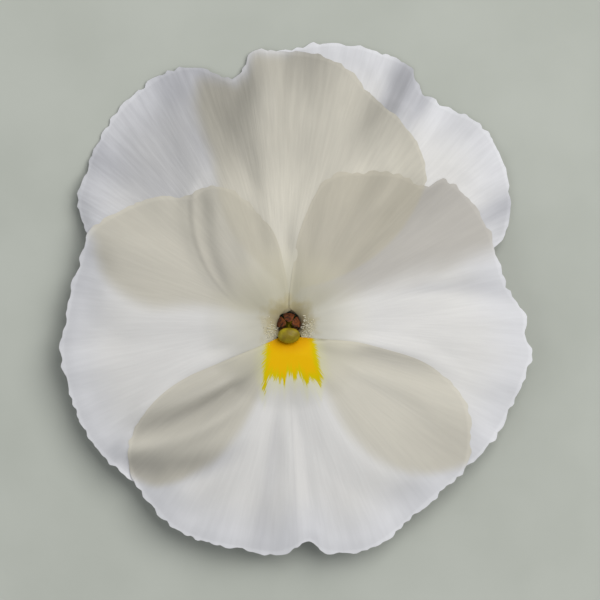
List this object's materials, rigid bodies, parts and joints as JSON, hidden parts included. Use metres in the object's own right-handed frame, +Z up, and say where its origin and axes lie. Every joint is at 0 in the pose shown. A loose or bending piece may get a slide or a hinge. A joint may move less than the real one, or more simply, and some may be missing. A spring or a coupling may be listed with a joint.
{
  "type": "pansy",
  "caption": "Open pansy blossom with broad overlapping ruffled petals, a blotched eye, spreading sepals and a short bent stalk, lying face up.",
  "frame": {"origin": "centre of the bounding box, at its underside, on the surface that the blossom lies on", "axes": "+Z up out of the blossom's face, +Y towards the upper petals, +X towards the right lateral petal"},
  "size_m": [0.0644, 0.0708, 0.012],
  "materials": {
    "petal": "soft translucent white with a velvety surface",
    "calyx": "matte leaf green",
    "stamen": "matte red brown",
    "pistil": "moist olive green",
    "stalk": "satin light green"
  },
  "bodies": {
    "root": {"upper_right_petal": "petal", "upper_left_petal": "petal", "left_lateral_petal": "petal", "right_lateral_petal": "petal", "lower_petal": "petal", "sepal_top": "calyx", "sepal_upper_left": "calyx", "sepal_upper_right": "calyx", "sepal_lower_left": "calyx", "sepal_lower_right": "calyx", "bracteole_left": "calyx", "bracteole_right": "calyx", "stamen_top": "stamen", "stamen_left": "stamen", "stamen_right": "stamen", "stamen_lower_left": "stamen", "stamen_lower_right": "stamen", "pistil": "pistil", "stalk": "stalk"}
  },
  "joints": []
}
